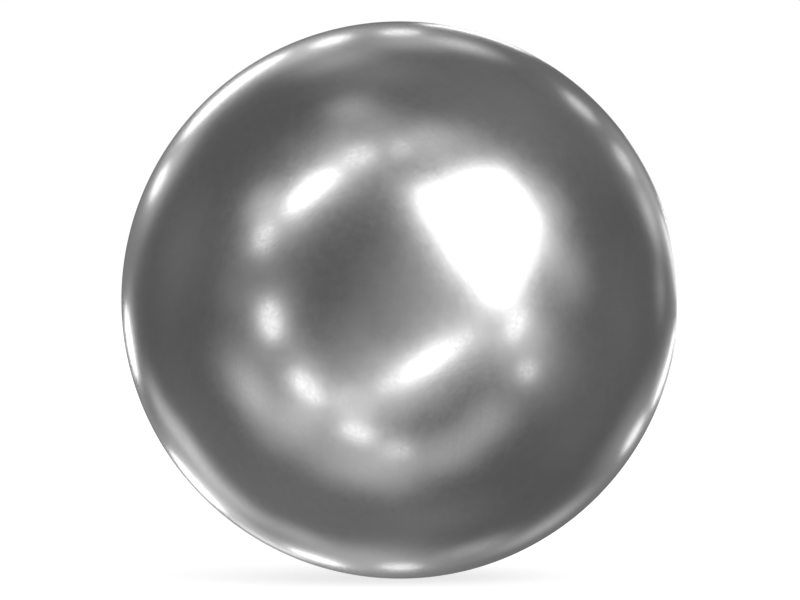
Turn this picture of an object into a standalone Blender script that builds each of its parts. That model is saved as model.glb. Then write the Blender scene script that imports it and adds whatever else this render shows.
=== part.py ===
"""Valve ball: one solid steel ball that closes a check valve by resting on a ring-shaped seat.

A ball of this kind is headed from one slug of steel, then ground and lapped to a true sphere, so
it is one piece with no seam, bore or flat. The origin is at the ball's centre, with +Z up.
"""

import math

import bmesh
import bpy

# Driving dimension, in metres.
BALL_DIAMETER = 0.0254

# Fineness of the facets: how many lie between the middle of a side of the cube that the ball is
# blown up from and that side's edge. Each side has twice as many across, which puts a point on
# every axis, so that the ball measures its full diameter along X, Y and Z.
FACETS_PER_HALF_SIDE = 12

# Finish of the lapped steel.
STEEL_COLOUR = (0.55, 0.55, 0.55, 1.0)
STEEL_ROUGHNESS = 0.22
STEEL_METALLIC = 1.0


def clear_scene():
    """Removes every object that the file opened with."""
    for leftover in list(bpy.data.objects):
        bpy.data.objects.remove(leftover, do_unlink=True)


def make_lapped_steel():
    """Returns the ball's material."""
    steel = bpy.data.materials.new("lapped_steel")
    steel.use_nodes = True
    shader = steel.node_tree.nodes["Principled BSDF"]
    shader.inputs["Base Color"].default_value = STEEL_COLOUR
    shader.inputs["Roughness"].default_value = STEEL_ROUGHNESS
    shader.inputs["Metallic"].default_value = STEEL_METALLIC
    return steel


def blow_up(point, radius):
    """Moves a point of a cube that reaches 1 from its centre along each axis out to the sphere.

    Taking the tangent first turns equal steps along a side into equal angles at the centre, so
    that the facets near a corner are about as large as those in the middle of a side.
    """
    for axis in range(3):
        point[axis] = math.tan(point[axis] * math.pi / 4)
    point *= radius / point.length


def make_ball(diameter, facets_per_half_side, material):
    """Returns the ball: a cube cut into a grid of facets, each corner of which is on the sphere."""
    shape = bmesh.new()
    bmesh.ops.create_cube(shape, size=2)
    cuts = 2 * facets_per_half_side - 1
    bmesh.ops.subdivide_edges(shape, edges=shape.edges[:], cuts=cuts, use_grid_fill=True)
    for vertex in shape.verts:
        blow_up(vertex.co, diameter / 2)
    bmesh.ops.triangulate(shape, faces=shape.faces[:], quad_method="SHORT_EDGE")
    bmesh.ops.recalc_face_normals(shape, faces=shape.faces[:])

    mesh = bpy.data.meshes.new("valve_ball")
    shape.to_mesh(mesh)
    shape.free()
    mesh.materials.append(material)
    mesh.shade_smooth()
    ball = bpy.data.objects.new("valve_ball", mesh)
    bpy.context.scene.collection.objects.link(ball)
    return ball


def main():
    """Builds the whole object, which is the ball alone."""
    clear_scene()
    make_ball(BALL_DIAMETER, FACETS_PER_HALF_SIDE, make_lapped_steel())


if __name__ == "__main__":
    main()
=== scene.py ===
"""Looks of a lapped steel check-valve ball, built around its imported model.

The ball is one fine mesh, made by a Geometry Nodes tree that blows a divided cube up to a sphere.
Its finish is bare lapped steel: neutral grey and nearly even, with faint crossing lapping marks.
Around it stand a pale floor, softboxes, and a grey tent that only reflections see.

A direction from the ball is given as the camera sees the set: off_axis is in degrees away from the
line from the ball to the camera, and clock is in degrees anticlockwise from the camera's right.
Lengths are in metres unless a docstring says otherwise. A light's level of 1 is the brightness of
white paper.
"""

from __future__ import annotations

import logging
import math
from dataclasses import KW_ONLY, dataclass, field
from enum import Enum

import bpy
import numpy as np
from mathutils import Matrix, Vector


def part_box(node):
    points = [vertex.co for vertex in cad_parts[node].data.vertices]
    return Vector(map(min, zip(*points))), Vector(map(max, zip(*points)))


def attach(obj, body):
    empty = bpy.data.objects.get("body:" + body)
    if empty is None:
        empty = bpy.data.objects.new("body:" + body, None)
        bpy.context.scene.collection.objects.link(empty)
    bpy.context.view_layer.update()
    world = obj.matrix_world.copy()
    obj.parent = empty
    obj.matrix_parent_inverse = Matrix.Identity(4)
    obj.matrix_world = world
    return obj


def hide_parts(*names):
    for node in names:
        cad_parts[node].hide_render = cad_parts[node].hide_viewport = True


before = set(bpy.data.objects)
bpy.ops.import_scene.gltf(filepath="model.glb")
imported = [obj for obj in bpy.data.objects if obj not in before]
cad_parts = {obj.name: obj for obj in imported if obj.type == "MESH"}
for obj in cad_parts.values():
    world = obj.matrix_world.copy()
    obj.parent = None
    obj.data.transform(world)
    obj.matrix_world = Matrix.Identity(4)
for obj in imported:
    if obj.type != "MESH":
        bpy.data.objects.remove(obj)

LOG = logging.getLogger("valve_ball")
NODE = "valve_ball"
MM = 0.001
MICRON = 0.000001
LAMP_DISTANCE = 2.0
NOISE_LOW = 0.3
NOISE_HIGH = 0.7

Socket = bpy.types.NodeSocket


def direction(off_axis: float, clock: float) -> Vector:
    """Gives a direction from the ball.

    Args:
        off_axis: Degrees away from the line from the ball to the camera.
        clock: Degrees anticlockwise from the camera's right.

    Returns:
        The unit vector. The camera looks along +Y, with +Z up.
    """
    off = math.radians(off_axis)
    turn = math.radians(clock)
    return Vector((math.sin(off) * math.cos(turn), -math.cos(off), math.sin(off) * math.sin(turn)))


def link(thing: bpy.types.Object) -> bpy.types.Object:
    """Puts an object in the scene and returns it."""
    bpy.context.scene.collection.objects.link(thing)
    return thing


def mesh_object(name: str, points: list[Vector], faces: list[tuple[int, ...]]) -> bpy.types.Object:
    """Makes a mesh object in the scene.

    Args:
        name: The object's name and its mesh's.
        points: The vertices.
        faces: The faces, each a run of vertex numbers.

    Returns:
        The new object.
    """
    mesh = bpy.data.meshes.new(name)
    mesh.from_pydata(points, [], faces)
    mesh.validate()
    return link(bpy.data.objects.new(name, mesh))


class NodePen:
    """Adds nodes to one tree and wires them."""

    def __init__(self, tree: bpy.types.NodeTree) -> None:
        """Takes the tree and empties it."""
        self.tree = tree
        tree.nodes.clear()

    def add(self, kind: str, wires: dict | None = None, **settings: object) -> bpy.types.Node:
        """Adds a node.

        Args:
            kind: The node's type.
            wires: For each input, by its name or number, a socket to wire in or a plain value.
            settings: The node's own properties.

        Returns:
            The new node.
        """
        node = self.tree.nodes.new(kind)
        for name, value in settings.items():
            setattr(node, name, value)
        for key, value in (wires or {}).items():
            self.feed(node.inputs[key], value)
        return node

    def feed(self, socket: Socket, value: object) -> None:
        """Fills an input.

        Args:
            socket: The input.
            value: A socket to wire in, or a plain value to set.
        """
        if isinstance(value, Socket):
            self.tree.links.new(value, socket)
        else:
            socket.default_value = value

    def value_math(self, operation: str, *values: object) -> Socket:
        """Adds a Math node and returns its result."""
        kind = "ShaderNodeMath"
        return self.add(kind, dict(enumerate(values)), operation=operation).outputs[0]

    def vector_math(self, operation: str, *vectors: object) -> Socket:
        """Adds a Vector Math node on one or two vectors and returns its vector."""
        kind = "ShaderNodeVectorMath"
        return self.add(kind, dict(enumerate(vectors)), operation=operation).outputs[0]

    def scaled(self, vector: Socket, scale: object) -> Socket:
        """Multiplies a vector by a number and returns the result."""
        wires = {0: vector, "Scale": scale}
        return self.add("ShaderNodeVectorMath", wires, operation="SCALE").outputs[0]

    def noise(self, vector: Socket, scale: float, detail: float = 2.0) -> Socket:
        """Adds a Noise Texture and returns its value, mostly between NOISE_LOW and NOISE_HIGH."""
        wires = {"Vector": vector, "Scale": scale, "Detail": detail}
        return self.add("ShaderNodeTexNoise", wires).outputs[0]

    def ramp(self, value: Socket, start: float, end: float, low: float, high: float) -> Socket:
        """Adds a smooth Map Range, held at its ends.

        Args:
            value: The socket that is read.
            start: The value that gives low.
            end: The value that gives high.
            low: The result at the start.
            high: The result at the end.

        Returns:
            The result.
        """
        wires = {"Value": value, "From Min": start, "From Max": end, "To Min": low, "To Max": high}
        return self.add("ShaderNodeMapRange", wires, interpolation_type="SMOOTHSTEP").outputs[0]

    def spread(self, noise: Socket, middle: float, width: float) -> Socket:
        """Spreads a noise evenly over a width round a middle value, and returns the result."""
        return self.ramp(noise, NOISE_LOW, NOISE_HIGH, middle - width / 2, middle + width / 2)

    def grey(self, value: Socket) -> Socket:
        """Makes a neutral colour from one number and returns it."""
        return self.add("ShaderNodeCombineColor", {0: value, 1: value, 2: value}).outputs[0]


def blank_material(name: str) -> tuple[bpy.types.Material, NodePen]:
    """Makes a material with an empty tree.

    Args:
        name: The material's name.

    Returns:
        The material and a pen for its tree.
    """
    made = bpy.data.materials.new(name)
    made.use_nodes = True
    return made, NodePen(made.node_tree)


@dataclass(frozen=True)
class LappingPass:
    """One pass of the lapping plates, which leaves arcs of round marks all turned one way.

    Attributes:
        turn: The way that the arcs run round the ball, as angles in radians.
        spacing: The distance between marks, in millimetres.
        length: The length of a mark, in millimetres.
        weight: How strongly the pass shows.
    """

    turn: tuple[float, float, float]
    spacing: float
    length: float
    weight: float


@dataclass(frozen=True)
class LappingMarks:
    """The marks of the lapping plates, as a node group that each pass uses with its own values.

    A mark is the arc where a thin sheet of stretched noise cuts the ball. Sheets lie flat on the ball
    at their two poles, where they would show as blots, so the marks fade out there.

    Attributes:
        sheet: The noise values between which a sheet rises from nothing to its middle.
        pole_fade: How near a pole the marks start to fade, and where they end, from 0 to 1.
    """

    sheet: tuple[float, float] = (0.54, 0.70)
    pole_fade: tuple[float, float] = (0.55, 0.90)

    def group(self) -> bpy.types.NodeTree:
        """Makes the node group.

        Returns:
            The group. Its vector and lengths are in millimetres, and Mark is 0 to 1.
        """
        group = bpy.data.node_groups.new("lapping_pass", "ShaderNodeTree")
        pen = NodePen(group)
        inputs = {"Vector": "Vector", "Turn": "Vector", "Spacing": "Float", "Length": "Float"}
        for name, kind in inputs.items():
            group.interface.new_socket(name, in_out="INPUT", socket_type=f"NodeSocket{kind}")
        group.interface.new_socket("Mark", in_out="OUTPUT", socket_type="NodeSocketFloat")
        given = pen.add("NodeGroupInput").outputs
        wires = {"Vector": given["Vector"], "Rotation": given["Turn"]}
        turned = pen.add("ShaderNodeVectorRotate", wires, rotation_type="EULER_XYZ").outputs[0]
        along = pen.value_math("DIVIDE", 1.0, given["Length"])
        through = pen.value_math("DIVIDE", 1.0, given["Spacing"])
        stretch = pen.add("ShaderNodeCombineXYZ", {0: along, 1: along, 2: through}).outputs[0]
        sheets = pen.noise(pen.vector_math("MULTIPLY", turned, stretch), scale=1.0)
        mark = pen.ramp(sheets, *self.sheet, 0.0, 1.0)
        height = pen.add("ShaderNodeSeparateXYZ", {0: pen.vector_math("NORMALIZE", turned)}).outputs[2]
        clear = pen.ramp(pen.value_math("ABSOLUTE", height), *self.pole_fade, 1.0, 0.0)
        pen.add("NodeGroupOutput", {"Mark": pen.value_math("MULTIPLY", mark, clear)})
        return group

    def add_up(self, passes: tuple[LappingPass, ...], pen: NodePen, spot: Socket) -> Socket:
        """Adds up the marks of every pass.

        Args:
            passes: The lapping passes.
            pen: The pen of the tree that the marks go in.
            spot: The place on the ball, in millimetres.

        Returns:
            The marks, 0 where there are none.
        """
        group = self.group()
        total = None
        for one in passes:
            node = pen.add("ShaderNodeGroup", node_tree=group)
            wires = {"Vector": spot, "Turn": one.turn, "Spacing": one.spacing, "Length": one.length}
            for name, value in wires.items():
                pen.feed(node.inputs[name], value)
            mark = pen.value_math("MULTIPLY", node.outputs["Mark"], one.weight)
            total = mark if total is None else pen.value_math("ADD", total, mark)
        return total


@dataclass(frozen=True)
class LappedSteel:
    """Bare hardened steel, lapped to a soft gloss: neutral grey, with marks too fine to feel.

    Attributes:
        name: The material's name.
        grey: The steel's middle grey, and grey_drift how far clouds move it.
        roughness: Its middle roughness, and roughness_drift how far clouds move it.
        mark_shade: How much a lapping mark darkens the steel.
        mark_roughness: How much a lapping mark roughens it.
        mark_depth: How deep a lapping mark is, in microns.
        drift_per_mm: How many broad clouds there are to a millimetre.
        mottle_per_mm: How many small clouds there are to a millimetre.
        mottle_detail: How many finer layers of noise the small clouds have.
        mottle_share: How much of the grey's drift is in the small clouds.
        grain_per_mm: How many grains of the steel there are to a millimetre.
        grain_detail: How many finer layers of noise the grains have.
        grain_height: How high the grains stand, in microns.
        grain_roughness: How far the grains move the roughness.
        marks: The shape of the lapping marks.
        passes: The lapping passes.
    """

    name: str = "lapped_steel"
    grey: float = 0.56
    grey_drift: float = 0.03
    roughness: float = 0.19
    roughness_drift: float = 0.02
    mark_shade: float = 0.02
    mark_roughness: float = 0.02
    mark_depth: float = 0.25
    drift_per_mm: float = 0.35
    mottle_per_mm: float = 2.2
    mottle_detail: float = 4.0
    mottle_share: float = 0.4
    grain_per_mm: float = 6.0
    grain_detail: float = 3.0
    grain_height: float = 0.7
    grain_roughness: float = 0.035
    marks: LappingMarks = LappingMarks()
    passes: tuple[LappingPass, ...] = (
        LappingPass(turn=(0.3, 0.2, 0.0), spacing=0.09, length=5.0, weight=0.5),
        LappingPass(turn=(1.5, 0.4, 0.3), spacing=0.07, length=4.0, weight=0.4),
        LappingPass(turn=(0.8, 1.2, 0.9), spacing=0.08, length=6.0, weight=0.5),
        LappingPass(turn=(2.3, 0.7, 1.6), spacing=0.06, length=3.0, weight=0.4),
        LappingPass(turn=(1.1, 2.4, 0.5), spacing=0.12, length=8.0, weight=0.6),
    )

    def material(self) -> bpy.types.Material:
        """Builds the steel's material, which reads Object coordinates.

        Returns:
            The new material.
        """
        made, pen = blank_material(self.name)
        spot = pen.scaled(pen.add("ShaderNodeTexCoord").outputs["Object"], 1 / MM)
        marks = self.marks.add_up(self.passes, pen, spot)
        drift = pen.noise(spot, self.drift_per_mm)
        mottle = pen.noise(spot, self.mottle_per_mm, self.mottle_detail)
        grain = pen.noise(spot, self.grain_per_mm, self.grain_detail)
        broad = pen.value_math("MULTIPLY", drift, 1.0 - self.mottle_share)
        cloud = pen.value_math("MULTIPLY_ADD", mottle, self.mottle_share, broad)
        grey = pen.spread(cloud, self.grey, self.grey_drift)
        grey = pen.value_math("MULTIPLY_ADD", marks, -self.mark_shade, grey)
        rough = pen.spread(mottle, self.roughness, self.roughness_drift)
        rough = pen.value_math("MULTIPLY_ADD", marks, self.mark_roughness, rough)
        rough = pen.value_math("ADD", rough, pen.spread(grain, 0.0, self.grain_roughness))
        grains = pen.value_math("MULTIPLY", grain, self.grain_height)
        relief = pen.value_math("MULTIPLY_ADD", marks, -self.mark_depth, grains)
        bump = pen.add("ShaderNodeBump", {"Height": relief, "Distance": MICRON, "Strength": 1.0})
        wires = {"Base Color": pen.grey(grey), "Roughness": rough, "Normal": bump.outputs[0]}
        steel = pen.add("ShaderNodeBsdfPrincipled", {"Metallic": 1.0, **wires})
        pen.add("ShaderNodeOutputMaterial", {"Surface": steel.outputs[0]})
        return made


@dataclass
class ValveBall:
    """The ball: one solid sphere of lapped steel.

    Attributes:
        diameter: Its diameter.
        divisions: How many facets run along each side of the cube that it is blown up from.
        seam_margin: The clear edge round each side of its map, as a share of the side.
        finish: Its steel.
    """

    diameter: float
    divisions: int = 80
    seam_margin: float = 0.01
    finish: LappedSteel = field(default_factory=LappedSteel)

    def tree(self, steel: bpy.types.Material) -> bpy.types.NodeTree:
        """Makes the Geometry Nodes tree that turns a divided cube into the ball.

        A cube's side is ruled with equal angles, not equal lengths, so that its facets come out nearly
        equal once every point is moved out to the sphere.

        Args:
            steel: The material that the tree sets.

        Returns:
            The tree. Its inputs are Diameter and Divisions.
        """
        made = bpy.data.node_groups.new("ball_from_cube", "GeometryNodeTree")
        pen = NodePen(made)
        made.interface.new_socket("Geometry", in_out="INPUT", socket_type="NodeSocketGeometry")
        made.interface.new_socket("Diameter", in_out="INPUT", socket_type="NodeSocketFloat")
        made.interface.new_socket("Divisions", in_out="INPUT", socket_type="NodeSocketInt")
        made.interface.new_socket("Geometry", in_out="OUTPUT", socket_type="NodeSocketGeometry")
        given = pen.add("NodeGroupInput").outputs
        rows = pen.value_math("ADD", given["Divisions"], 1.0)
        wires = {"Size": (2.0, 2.0, 2.0), "Vertices X": rows, "Vertices Y": rows, "Vertices Z": rows}
        cube = pen.add("GeometryNodeMeshCube", wires).outputs["Mesh"]
        here = pen.add("GeometryNodeInputPosition").outputs[0]
        angle = pen.vector_math("MULTIPLY", here, (math.pi / 4,) * 3)
        outwards = pen.vector_math("NORMALIZE", pen.vector_math("TANGENT", angle))
        place = pen.scaled(outwards, pen.value_math("DIVIDE", given["Diameter"], 2.0))
        ball = pen.add("GeometryNodeSetPosition", {"Geometry": cube, "Position": place}).outputs[0]
        smooth = pen.add("GeometryNodeSetShadeSmooth", {"Geometry": ball}).outputs[0]
        real = pen.add("GeometryNodeRealizeInstances", {"Geometry": smooth}).outputs[0]
        dressed = pen.add("GeometryNodeSetMaterial", {"Geometry": real, "Material": steel}).outputs[0]
        pen.add("NodeGroupOutput", {"Geometry": dressed})
        return made

    def build(self) -> bpy.types.Object:
        """Builds the ball as a plain mesh with its finish and its map.

        Returns:
            The ball, centred on the origin.
        """
        maker = link(bpy.data.objects.new("ball_maker", bpy.data.meshes.new("ball_maker")))
        tree = self.tree(self.finish.material())
        modifier = maker.modifiers.new("ball_from_cube", "NODES")
        modifier.node_group = tree
        sizes = {"Diameter": self.diameter, "Divisions": self.divisions}
        for socket in tree.interface.items_tree:
            if socket.name in sizes:
                modifier[socket.identifier] = sizes[socket.name]
        graph = bpy.context.evaluated_depsgraph_get()
        mesh = bpy.data.meshes.new_from_object(maker.evaluated_get(graph), depsgraph=graph)
        bpy.data.objects.remove(maker)
        mesh.name = "lapped_ball"
        self.lay_out_map(mesh)
        return link(bpy.data.objects.new("lapped_ball", mesh))

    def lay_out_map(self, mesh: bpy.types.Mesh) -> None:
        """Gives the ball a map of its six sides, laid out in three columns and two rows.

        A point's place on a side follows the angles that the side is ruled with, so the map's squares
        are even.

        Args:
            mesh: The ball's mesh.
        """
        corners = np.empty(len(mesh.loops), np.int32)
        mesh.loops.foreach_get("vertex_index", corners)
        points = np.empty(len(mesh.vertices) * 3, np.float32)
        mesh.vertices.foreach_get("co", points)
        spots = points.reshape(-1, 3)[corners]
        counts = np.empty(len(mesh.polygons), np.int32)
        mesh.polygons.foreach_get("loop_total", counts)
        middles = np.empty(len(mesh.polygons) * 3, np.float32)
        mesh.polygons.foreach_get("center", middles)
        middles = np.repeat(middles.reshape(-1, 3), counts, axis=0)
        axis = np.abs(middles).argmax(axis=1)
        row = np.arange(len(axis))
        facing_up = middles[row, axis] > 0
        depth = spots[row, axis]
        side = math.pi / 2
        across = np.arctan(spots[row, (axis + 1) % 3] / depth) / side
        up = np.arctan(spots[row, (axis + 2) % 3] / np.abs(depth)) / side
        room = 1.0 - 2.0 * self.seam_margin
        u = (axis + 0.5 + across * room) / 3.0
        v = (facing_up + 0.5 + up * room) / 2.0
        layer = mesh.uv_layers.new(name="OFBake")
        layer.data.foreach_set("uv", np.stack([u, v], axis=1).astype(np.float32).ravel())
        layer.active_render = True


class Card(Enum):
    """What a card that stands on the stage is for."""

    LAMP = "lights the set, and shows in the steel"
    WALL = "only shows in the steel"


def set_up(card: bpy.types.Object, kind: Card) -> None:
    """Makes a mesh a card of the stage, which the camera doesn't see and which throws no shadow.

    Args:
        card: The mesh.
        kind: What the card is for.
    """
    card.visible_camera = False
    card.visible_shadow = False
    card.visible_transmission = False
    card.visible_volume_scatter = False
    card.visible_diffuse = kind is Card.LAMP


def spill(rays: np.ndarray, outline: list[Vector], level: float, reach: float) -> np.ndarray:
    """Works out how a light's spill brightens the tent round it.

    Args:
        rays: The directions from the ball, one in each row.
        outline: The directions of the light's corners, in order.
        level: The spill's level at the light's edge.
        reach: The angle in degrees over which the spill falls by a factor of e.

    Returns:
        The spill's level in each direction.
    """
    corners = np.array(outline)
    nearest = np.full(len(rays), math.inf)
    for start, end in zip(corners, np.roll(corners, -1, axis=0)):
        edge = end - start
        share = np.clip((rays - start) @ edge / (edge @ edge), 0.0, 1.0)
        gap = np.linalg.norm(rays - start - share[:, None] * edge, axis=1)
        nearest = np.minimum(nearest, gap)
    return level * np.exp(-nearest / math.radians(reach))


@dataclass(frozen=True)
class Softbox:
    """One round softbox, aimed at the ball.

    Attributes:
        name: Its name.
        clock: The clock angle of its middle.
        off_axis: The off-axis angle of its middle.
        along: Its size round the clock, in degrees as seen from the ball.
        across: Its size away from the axis, in degrees as seen from the ball.
        level: Its brightness.
        spill: The brightness of the tent at its edge, as a share of its own.
        turn: How far it is turned in its own plane, in degrees.
    """

    name: str
    _: KW_ONLY
    clock: float
    off_axis: float
    along: float
    across: float
    level: float
    spill: float = 0.33
    turn: float = 0.0

    def build(self) -> bpy.types.Object:
        """Builds the lamp.

        Returns:
            The lamp's object.
        """
        lamp = bpy.data.lights.new(self.name, "AREA")
        lamp.shape = "ELLIPSE"
        lamp.size = self.width(self.across)
        lamp.size_y = self.width(self.along)
        lamp.normalize = False
        lamp.energy = self.level * math.pi
        stand = link(bpy.data.objects.new(self.name, lamp))
        stand.matrix_world = self.place()
        return stand

    def width(self, angle: float) -> float:
        """Gives the width that an angle takes up at the softbox's distance."""
        return 2.0 * LAMP_DISTANCE * math.tan(math.radians(angle) / 2.0)

    def place(self) -> Matrix:
        """Works out where the softbox stands and how it is turned.

        Returns:
            Its place. Its X runs away from the axis, its Y round the clock, and its Z outwards.
        """
        outwards = direction(self.off_axis, self.clock)
        round_the_clock = direction(90.0, self.clock + 90.0)
        away = round_the_clock.cross(outwards)
        aimed = Matrix((away, round_the_clock, outwards)).transposed().to_4x4()
        turned = Matrix.Rotation(math.radians(self.turn), 4, "Z")
        return Matrix.Translation(outwards * LAMP_DISTANCE) @ aimed @ turned

    def outline(self) -> list[Vector]:
        """Gives the corners of the box that holds the softbox.

        Returns:
            The directions of the four corners, in order.
        """
        x = self.width(self.across) / 2.0
        y = self.width(self.along) / 2.0
        corners = ((-x, -y), (x, -y), (x, y), (-x, y))
        return [(self.place() @ Vector((*corner, 0.0))).normalized() for corner in corners]


@dataclass(frozen=True, kw_only=True)
class RimSpot(Softbox):
    """A small softbox behind the ball, which shows as a spot near the ball's rim.

    Attributes:
        along: As a softbox's, with the size that most rim spots share.
        across: The same.
        spill: As a softbox's. It is faint, so that the spots stay apart.
    """

    along: float = 5.0
    across: float = 10.0
    spill: float = 0.1


@dataclass(frozen=True)
class Sail:
    """The key light: a big translucent sheet, hung at an angle in front of the ball and to the right.

    Attributes:
        level: Its brightness.
        spill: The brightness of the tent at its edge, as a share of its own.
        corners: Its corners, each as an off-axis angle and a clock angle.
    """

    level: float = 3.0
    spill: float = 0.4
    corners: tuple[tuple[float, float], ...] = (
        (45.0, 83.0),
        (53.0, 69.0),
        (61.0, 63.0),
        (71.0, 52.0),
        (70.0, 41.0),
        (69.0, 30.0),
        (56.0, 15.0),
        (44.0, 356.0),
        (35.0, 358.0),
        (26.0, 38.0),
        (36.0, 76.0),
    )

    def outline(self) -> list[Vector]:
        """Gives the directions of the sheet's corners, in order."""
        return [direction(off_axis, clock) for off_axis, clock in self.corners]

    def build(self) -> bpy.types.Object:
        """Builds the flat sheet from its corners.

        Returns:
            The sheet's object.
        """
        rays = self.outline()
        middle = sum(rays, Vector()).normalized()
        points = [ray * (LAMP_DISTANCE / ray.dot(middle)) for ray in rays]
        sheet = mesh_object("key_sail", points, [tuple(range(len(points)))])
        cloth, pen = blank_material("lit_cloth")
        glow = pen.add("ShaderNodeEmission", {"Strength": self.level})
        pen.add("ShaderNodeOutputMaterial", {"Surface": glow.outputs[0]})
        cloth.cycles.emission_sampling = "FRONT_BACK"
        sheet.data.materials.append(cloth)
        set_up(sheet, Card.LAMP)
        return sheet


@dataclass(frozen=True, kw_only=True)
class Glow:
    """A soft patch of painted light on the tent's wall.

    Attributes:
        clock: The clock angle of its middle.
        off_axis: The off-axis angle of its middle.
        spread: How far from its middle it fades out, in degrees.
        level: Its brightness in the middle.
    """

    clock: float
    off_axis: float
    spread: float
    level: float

    def at(self, rays: np.ndarray) -> np.ndarray:
        """Works out the patch's own level.

        Args:
            rays: The directions from the ball, one in each row.

        Returns:
            The level in each direction.
        """
        away = np.arccos(np.clip(rays @ np.array(direction(self.off_axis, self.clock)), -1.0, 1.0))
        share = np.clip(1.0 - np.degrees(away) / self.spread, 0.0, 1.0)
        return self.level * share * share * (3.0 - 2.0 * share)


@dataclass(frozen=True, kw_only=True)
class Doorway:
    """A gap in the tent behind the ball, through which the ball's rim shows the white backdrop.

    Attributes:
        clock: The clock angle of its middle.
        width: How many degrees of the clock it takes up.
        start: The off-axis angle at which it opens.
        end: The off-axis angle at which it closes.
    """

    clock: float
    width: float
    start: float = 168.0
    end: float = 176.0

    def holds(self, off_axis: float, clock: float) -> bool:
        """Says whether a direction goes through the gap."""
        aside = abs((clock - self.clock + 180.0) % 360.0 - 180.0)
        return self.start < off_axis < self.end and aside < self.width / 2.0


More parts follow.
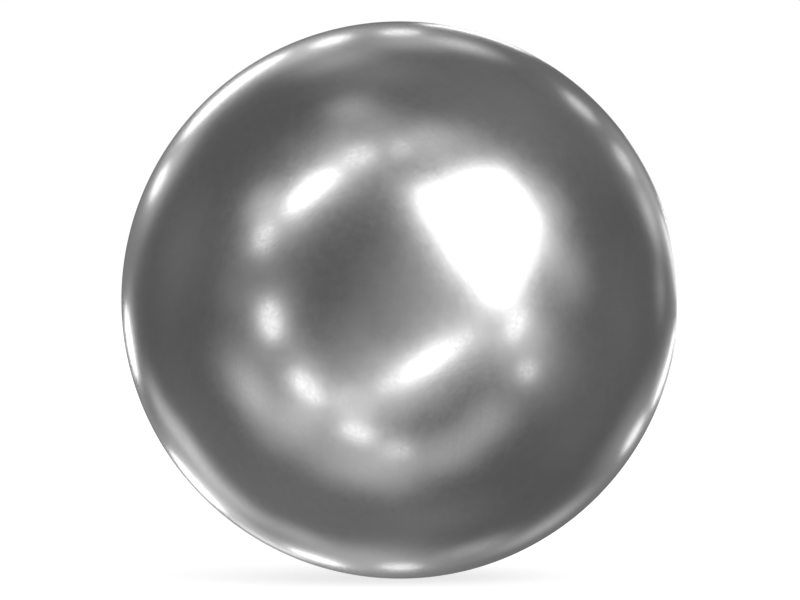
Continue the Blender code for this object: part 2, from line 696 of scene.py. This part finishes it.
@dataclass(frozen=True)
class Tent:
    """A grey tent of cloth round the whole set, for the steel to reflect. Only reflections see it.

    Bare even cloth would make the steel look dead, so pale glows are placed on it. The tent takes no
    light from the lamps: its grey, its glows and each light's spill are painted light that it gives off.

    Attributes:
        lights: The lights that spill on it.
        radius: Its radius.
        grey: The level that its bare cloth gives off, as painted light.
        step: The size of its net's faces, in degrees.
        spill_reach: The angle in degrees over which a light's spill falls by a factor of e.
        doorways: The gaps in it.
        front_glows: The painted glows that show in the middle of the ball.
        side_glows: The painted glows that show round the middle.
        back_glows: The painted glows that show towards the rim.
    """

    lights: tuple[Softbox | Sail, ...]
    radius: float = 2.6
    grey: float = 0.15
    step: float = 2.0
    spill_reach: float = 5.0
    doorways: tuple[Doorway, ...] = (
        Doorway(clock=70, width=24),
        Doorway(clock=7, width=58),
    )
    front_glows: tuple[Glow, ...] = (
        Glow(clock=215, off_axis=25, spread=18, level=0.10),
        Glow(clock=219, off_axis=45, spread=11, level=0.18),
        Glow(clock=236, off_axis=51, spread=9, level=0.15),
        Glow(clock=238, off_axis=33, spread=18, level=0.15),
        Glow(clock=250, off_axis=56, spread=8, level=0.15),
        Glow(clock=260, off_axis=28, spread=14, level=0.14),
        Glow(clock=269, off_axis=41, spread=13, level=0.30),
        Glow(clock=290, off_axis=41, spread=12, level=0.15),
        Glow(clock=335, off_axis=45, spread=20, level=0.12),
        Glow(clock=337, off_axis=33, spread=12, level=0.15),
        Glow(clock=345, off_axis=58, spread=22, level=0.15),
        Glow(clock=346, off_axis=14, spread=46, level=0.28),
    )
    side_glows: tuple[Glow, ...] = (
        Glow(clock=6, off_axis=74, spread=16, level=0.20),
        Glow(clock=14, off_axis=72, spread=17, level=0.20),
        Glow(clock=21, off_axis=66, spread=12, level=0.40),
        Glow(clock=31, off_axis=78, spread=10, level=0.15),
        Glow(clock=35, off_axis=78, spread=14, level=0.20),
        Glow(clock=68, off_axis=76, spread=11, level=0.25),
        Glow(clock=79, off_axis=69, spread=15, level=0.60),
        Glow(clock=98, off_axis=78, spread=14, level=0.25),
        Glow(clock=105, off_axis=88, spread=12, level=0.45),
        Glow(clock=111, off_axis=76, spread=10, level=0.20),
        Glow(clock=124, off_axis=80, spread=12, level=0.08),
        Glow(clock=145, off_axis=72, spread=12, level=0.48),
        Glow(clock=152, off_axis=65, spread=8, level=0.15),
        Glow(clock=178, off_axis=72, spread=12, level=0.10),
        Glow(clock=205, off_axis=76, spread=20, level=0.25),
        Glow(clock=209, off_axis=75, spread=13, level=0.35),
        Glow(clock=216, off_axis=75, spread=11, level=0.15),
        Glow(clock=225, off_axis=75, spread=20, level=0.45),
        Glow(clock=230, off_axis=65, spread=14, level=0.38),
        Glow(clock=248, off_axis=75, spread=18, level=0.38),
        Glow(clock=266, off_axis=74, spread=20, level=0.46),
        Glow(clock=288, off_axis=68, spread=17, level=0.46),
        Glow(clock=306, off_axis=63, spread=17, level=0.45),
        Glow(clock=335, off_axis=76, spread=22, level=0.10),
        Glow(clock=346, off_axis=60, spread=9, level=0.24),
    )
    back_glows: tuple[Glow, ...] = (
        Glow(clock=3, off_axis=135, spread=8, level=0.30),
        Glow(clock=19, off_axis=138, spread=9, level=0.75),
        Glow(clock=22, off_axis=152, spread=13, level=0.34),
        Glow(clock=29, off_axis=130, spread=10, level=0.08),
        Glow(clock=62, off_axis=101, spread=45, level=0.09),
        Glow(clock=76, off_axis=137, spread=9, level=0.90),
        Glow(clock=88, off_axis=131, spread=11, level=0.40),
        Glow(clock=98, off_axis=107, spread=20, level=0.13),
        Glow(clock=105, off_axis=123, spread=14, level=0.38),
        Glow(clock=111, off_axis=137, spread=11, level=0.40),
        Glow(clock=129, off_axis=137, spread=10, level=0.15),
        Glow(clock=150, off_axis=138, spread=13, level=0.42),
        Glow(clock=164, off_axis=142, spread=12, level=0.12),
        Glow(clock=168, off_axis=104, spread=24, level=0.07),
        Glow(clock=186, off_axis=148, spread=9, level=0.30),
        Glow(clock=204, off_axis=136, spread=9, level=0.50),
        Glow(clock=204, off_axis=141, spread=7, level=0.20),
        Glow(clock=205, off_axis=112, spread=25, level=0.04),
        Glow(clock=213, off_axis=128, spread=9, level=0.20),
        Glow(clock=216, off_axis=132, spread=12, level=0.80),
        Glow(clock=221, off_axis=146, spread=10, level=0.55),
        Glow(clock=226, off_axis=126, spread=11, level=0.10),
        Glow(clock=230, off_axis=149, spread=10, level=0.40),
        Glow(clock=231, off_axis=134, spread=12, level=0.64),
        Glow(clock=245, off_axis=105, spread=45, level=0.08),
        Glow(clock=246, off_axis=129, spread=10, level=0.38),
        Glow(clock=252, off_axis=146, spread=9, level=0.25),
        Glow(clock=260, off_axis=136, spread=18, level=0.35),
        Glow(clock=268, off_axis=126, spread=16, level=0.17),
        Glow(clock=279, off_axis=102, spread=24, level=0.08),
        Glow(clock=282, off_axis=142, spread=14, level=0.10),
        Glow(clock=287, off_axis=133, spread=10, level=0.42),
        Glow(clock=303, off_axis=145, spread=12, level=0.45),
        Glow(clock=324, off_axis=100, spread=22, level=0.04),
        Glow(clock=330, off_axis=134, spread=14, level=0.18),
        Glow(clock=341, off_axis=149, spread=9, level=0.20),
        Glow(clock=355, off_axis=102, spread=30, level=0.04),
    )

    def build(self) -> bpy.types.Object:
        """Builds the tent as a net of small faces, with its level stored at each point.

        Returns:
            The tent's object.
        """
        rings = round(180.0 / self.step)
        columns = round(360.0 / self.step)
        off_axes = [ring * self.step for ring in range(rings + 1)]
        clocks = [column * self.step for column in range(columns)]
        rays = np.array([direction(off_axis, clock) for off_axis in off_axes for clock in clocks])
        faces = []
        for ring in range(rings):
            for column in range(columns):
                if not self.is_open((ring + 0.5) * self.step, (column + 0.5) * self.step):
                    here = ring * columns + column
                    beside = ring * columns + (column + 1) % columns
                    faces.append((here, beside, beside + columns, here + columns))
        tent = mesh_object("grey_tent", rays * self.radius, faces)
        level = tent.data.attributes.new("level", "FLOAT", "POINT")
        level.data.foreach_set("value", self.levels(rays).astype(np.float32))
        tent.data.materials.append(self.cloth())
        set_up(tent, Card.WALL)
        return tent

    def is_open(self, off_axis: float, clock: float) -> bool:
        """Says whether the tent has a gap in a direction."""
        return any(doorway.holds(off_axis, clock) for doorway in self.doorways)

    def levels(self, rays: np.ndarray) -> np.ndarray:
        """Works out the cloth's painted light: its own grey, its painted glows, and the lights' painted
        spill.

        Args:
            rays: The directions from the ball, one in each row.

        Returns:
            The cloth's level in each direction.
        """
        # painted light: the tent's grey, its glows and each light's spill are given off by the tent itself,
        # not lit by the lamps
        total = np.full(len(rays), self.grey)
        for glow in (*self.front_glows, *self.side_glows, *self.back_glows):
            total += glow.at(rays)
        for light in self.lights:
            total += spill(rays, light.outline(), light.level * light.spill, self.spill_reach)
        return total

    def cloth(self) -> bpy.types.Material:
        """Makes the cloth, which no lamp lights: at each point it gives off its stored level as painted
        light.

        Returns:
            The cloth's material.
        """
        made, pen = blank_material("tent_painted_glow")
        level = pen.add("ShaderNodeAttribute", attribute_name="level").outputs["Fac"]
        glow = pen.add("ShaderNodeEmission", {"Strength": level})
        pen.add("ShaderNodeOutputMaterial", {"Surface": glow.outputs[0]})
        made.cycles.emission_sampling = "NONE"
        return made


def seen_directly(pen: NodePen) -> Socket:
    """Adds a Light Path that picks out what is looked at, straight or in a mirror or glass.

    Args:
        pen: The pen of the tree that it goes in.

    Returns:
        1 for camera, glossy and transmission rays, and 0 for the others.
    """
    path = pen.add("ShaderNodeLightPath").outputs
    mirrored = pen.value_math("MAXIMUM", path["Is Glossy Ray"], path["Is Transmission Ray"])
    return pen.value_math("MAXIMUM", path["Is Camera Ray"], mirrored)


@dataclass(frozen=True)
class Floor:
    """The pale floor under the ball. It lets lamps below it through, and keeps the ball's shadow.

    A soft grey patch to the front right lies behind the ball's edge when it is seen from the back left,
    where that edge mirrors the key and would be lost against white.

    Attributes:
        height: Its height.
        radius: Its radius.
        sides: How many sides its rim has.
        grey: How pale its paper is.
        shine: Its own level where it is looked at.
        patch_shade: How dark the grey patch is, as a share of the floor.
        patch_centre: The patch's middle.
        patch_reach: How far from its middle the patch starts to fade, and how far it goes.
    """

    height: float
    radius: float = 12.0
    sides: int = 72
    grey: float = 0.5
    shine: float = 0.7
    patch_shade: float = 0.55
    patch_centre: tuple[float, float] = (0.12, -0.12)
    patch_reach: tuple[float, float] = (0.06, 0.12)

    def build(self) -> bpy.types.Object:
        """Builds the floor as a disc.

        Returns:
            The floor's object.
        """
        turns = [math.tau * side / self.sides for side in range(self.sides)]
        rim = [(self.radius * math.cos(turn), self.radius * math.sin(turn)) for turn in turns]
        points = [Vector((*spot, self.height)) for spot in rim]
        floor = mesh_object("floor", points, [tuple(range(self.sides))])
        floor.data.materials.append(self.paper())
        floor.visible_shadow = False
        floor.visible_glossy = False
        return floor

    def paper(self) -> bpy.types.Material:
        """Makes the floor's pale paper.

        Returns:
            The paper's material.
        """
        made, pen = blank_material("pale_floor")
        place = pen.add("ShaderNodeTexCoord").outputs["Object"]
        wires = {0: place, 1: (*self.patch_centre, self.height)}
        apart = pen.add("ShaderNodeVectorMath", wires, operation="DISTANCE").outputs["Value"]
        shade = pen.ramp(apart, *self.patch_reach, self.patch_shade, 1.0)
        colour = pen.grey(pen.value_math("MULTIPLY", shade, self.grey))
        paper = pen.add("ShaderNodeBsdfDiffuse", {"Color": colour})
        shine = pen.value_math("MULTIPLY", seen_directly(pen), self.shine)
        glow = pen.add("ShaderNodeEmission", {"Strength": pen.value_math("MULTIPLY", shine, shade)})
        both = pen.add("ShaderNodeAddShader", {0: paper.outputs[0], 1: glow.outputs[0]})
        pen.add("ShaderNodeOutputMaterial", {"Surface": both.outputs[0]})
        made.cycles.emission_sampling = "NONE"
        return made


@dataclass(frozen=True)
class Studio:
    """The set round the ball: lamps, tent, floor and white backdrop.

    Attributes:
        floor_height: The height of the floor.
        fill: The level of the even fill light from all round.
        key: The key light.
        front_boxes: The softboxes before the ball and beside it.
        rim_spots: The softboxes behind it.
    """

    floor_height: float
    fill: float = 0.75
    key: Sail = Sail()
    front_boxes: tuple[Softbox, ...] = (
        Softbox("upper_left_strip", clock=129, off_axis=59, along=27, across=8, level=1.3, spill=0.28),
        Softbox("upper_left_core", clock=129, off_axis=59.5, along=18, across=5, level=3.0, spill=0.25),
        Softbox("upper_spot", clock=106, off_axis=63, along=12, across=9, level=1.2),
        Softbox("top_spot", clock=90, off_axis=64, along=7, across=8, level=0.8),
        Softbox("left_spot", clock=155, off_axis=63, along=11, across=8, level=1.15),
        Softbox("left_strip", clock=189, off_axis=54.3, along=14, across=9, level=1.7, spill=0.28),
        Softbox("lower_left_strip", clock=223, off_axis=53, along=15, across=8, level=1.7),
        Softbox("bottom_left_strip", clock=252, off_axis=58, along=12, across=7, level=1.5),
        Softbox("bottom_spot", clock=269, off_axis=63, along=9, across=7, level=0.8),
        Softbox("lower_bar", clock=292, off_axis=28, along=44, across=7, level=1.3, turn=10),
        Softbox("lower_bar_core", clock=294, off_axis=27, along=20, across=4, level=2.4, turn=11),
        Softbox("lower_left_patch", clock=246, off_axis=46, along=16, across=14, level=0.55),
        Softbox("right_small", clock=348, off_axis=49, along=12, across=7, level=1.4, turn=-10),
        Softbox("right_spot", clock=331, off_axis=61, along=7, across=8, level=1.0),
    )
    rim_spots: tuple[RimSpot, ...] = (
        RimSpot("back_right_edge", clock=6, off_axis=166, along=8, across=4, level=2.6, spill=0.0),
        RimSpot("back_right_near", clock=10, off_axis=157, level=1.1, spill=0.06, turn=-35),
        RimSpot("back_right_mid", clock=32, off_axis=139, level=0.9),
        RimSpot("back_right_high", clock=47, off_axis=139, along=6, level=0.85),
        RimSpot("back_top_rim", clock=75, off_axis=163, along=8, across=5, level=2.8, spill=0.0, turn=40),
        RimSpot("back_top_spot", clock=90, off_axis=144, across=9, level=1.4, spill=0.14),
        RimSpot("back_top_bar", clock=105, off_axis=144.5, level=1.85),
        RimSpot("back_upper_left", clock=129, off_axis=148.5, along=15, across=10.5, level=2.8, spill=0.16),
        RimSpot("back_left_small", clock=154, off_axis=145, level=1.8, spill=0.06),
        RimSpot("back_left", clock=189, off_axis=154, along=6.8, level=2.8, spill=0.03),
        RimSpot("back_lower_left", clock=222, off_axis=156, along=7, level=2.6, spill=0.06),
        RimSpot("back_bottom_edge", clock=241, off_axis=159, along=7, across=7, level=0.9),
        RimSpot("back_bottom_strip", clock=252, off_axis=150.5, along=6, across=6, level=2.8, turn=30),
        RimSpot("back_bottom_spot", clock=270, off_axis=143, across=9, level=1.2),
        RimSpot("back_right_lower", clock=330, off_axis=147, across=9, level=1.5),
        RimSpot("back_right_low", clock=345, off_axis=157, along=4.2, level=2.8, spill=0.05, turn=35),
    )

    def build(self) -> None:
        """Builds the lights, the tent, the floor and the world."""
        lights = (self.key, *self.front_boxes, *self.rim_spots)
        for light in lights:
            light.build()
        Tent(lights=lights).build()
        Floor(height=self.floor_height).build()
        self.light_world()
        LOG.info("studio: %d lights, a tent and a floor", len(lights))

    def light_world(self) -> None:
        """Makes the world: even fill light, and plain white where it is looked at."""
        world = bpy.data.worlds.new("studio_world")
        world.use_nodes = True
        bpy.context.scene.world = world
        pen = NodePen(world.node_tree)
        level = pen.value_math("MAXIMUM", seen_directly(pen), self.fill)
        sky = pen.add("ShaderNodeBackground", {"Color": (1.0, 1.0, 1.0, 1.0), "Strength": level})
        pen.add("ShaderNodeOutputWorld", {"Surface": sky.outputs[0]})


@dataclass(frozen=True)
class Eye:
    """The camera: a long lens, level with the ball and square to it.

    Attributes:
        lens: Its focal length, in millimetres.
        sensor: The width of its sensor, in millimetres.
        picture_shape: The picture's height as a share of its width.
        fill_share: The height of the ball's outline as a share of the picture's.
        reach: The nearest and the furthest thing that it sees.
    """

    lens: float = 200.0
    sensor: float = 36.0
    picture_shape: float = 0.75
    fill_share: float = 0.929
    reach: tuple[float, float] = (0.01, 100.0)

    def distance(self, radius: float) -> float:
        """Gives the distance at which a ball's outline fills its share of the picture."""
        half_height = self.sensor * self.picture_shape / 2.0 / self.lens
        return radius / math.sin(math.atan(half_height * self.fill_share))

    def build(self, centre: Vector, radius: float) -> bpy.types.Object:
        """Builds the camera and makes it the scene's.

        Args:
            centre: The ball's centre.
            radius: The ball's radius.

        Returns:
            The camera's object.
        """
        camera = bpy.data.cameras.new("camera")
        camera.lens = self.lens
        camera.sensor_width = self.sensor
        camera.clip_start, camera.clip_end = self.reach
        stand = link(bpy.data.objects.new("camera", camera))
        stand.location = centre + Vector((0.0, -self.distance(radius), 0.0))
        stand.rotation_euler = (math.pi / 2, 0.0, 0.0)
        bpy.context.scene.camera = stand
        return stand


def main() -> None:
    """Builds the ball, the camera and the studio."""
    logging.basicConfig(level=logging.INFO, format="%(message)s")
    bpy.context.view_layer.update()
    low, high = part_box(NODE)
    centre = (low + high) / 2.0
    diameter = high.x - low.x
    ball = ValveBall(diameter=diameter).build()
    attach(ball, "root")
    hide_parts(NODE)
    LOG.info("%s: %.2f mm across, %d faces", ball.name, diameter / MM, len(ball.data.polygons))
    Eye().build(centre, diameter / 2.0)
    Studio(floor_height=low.z).build()
    bpy.context.scene.view_settings.view_transform = "Standard"


if __name__ == "__main__":
    main()
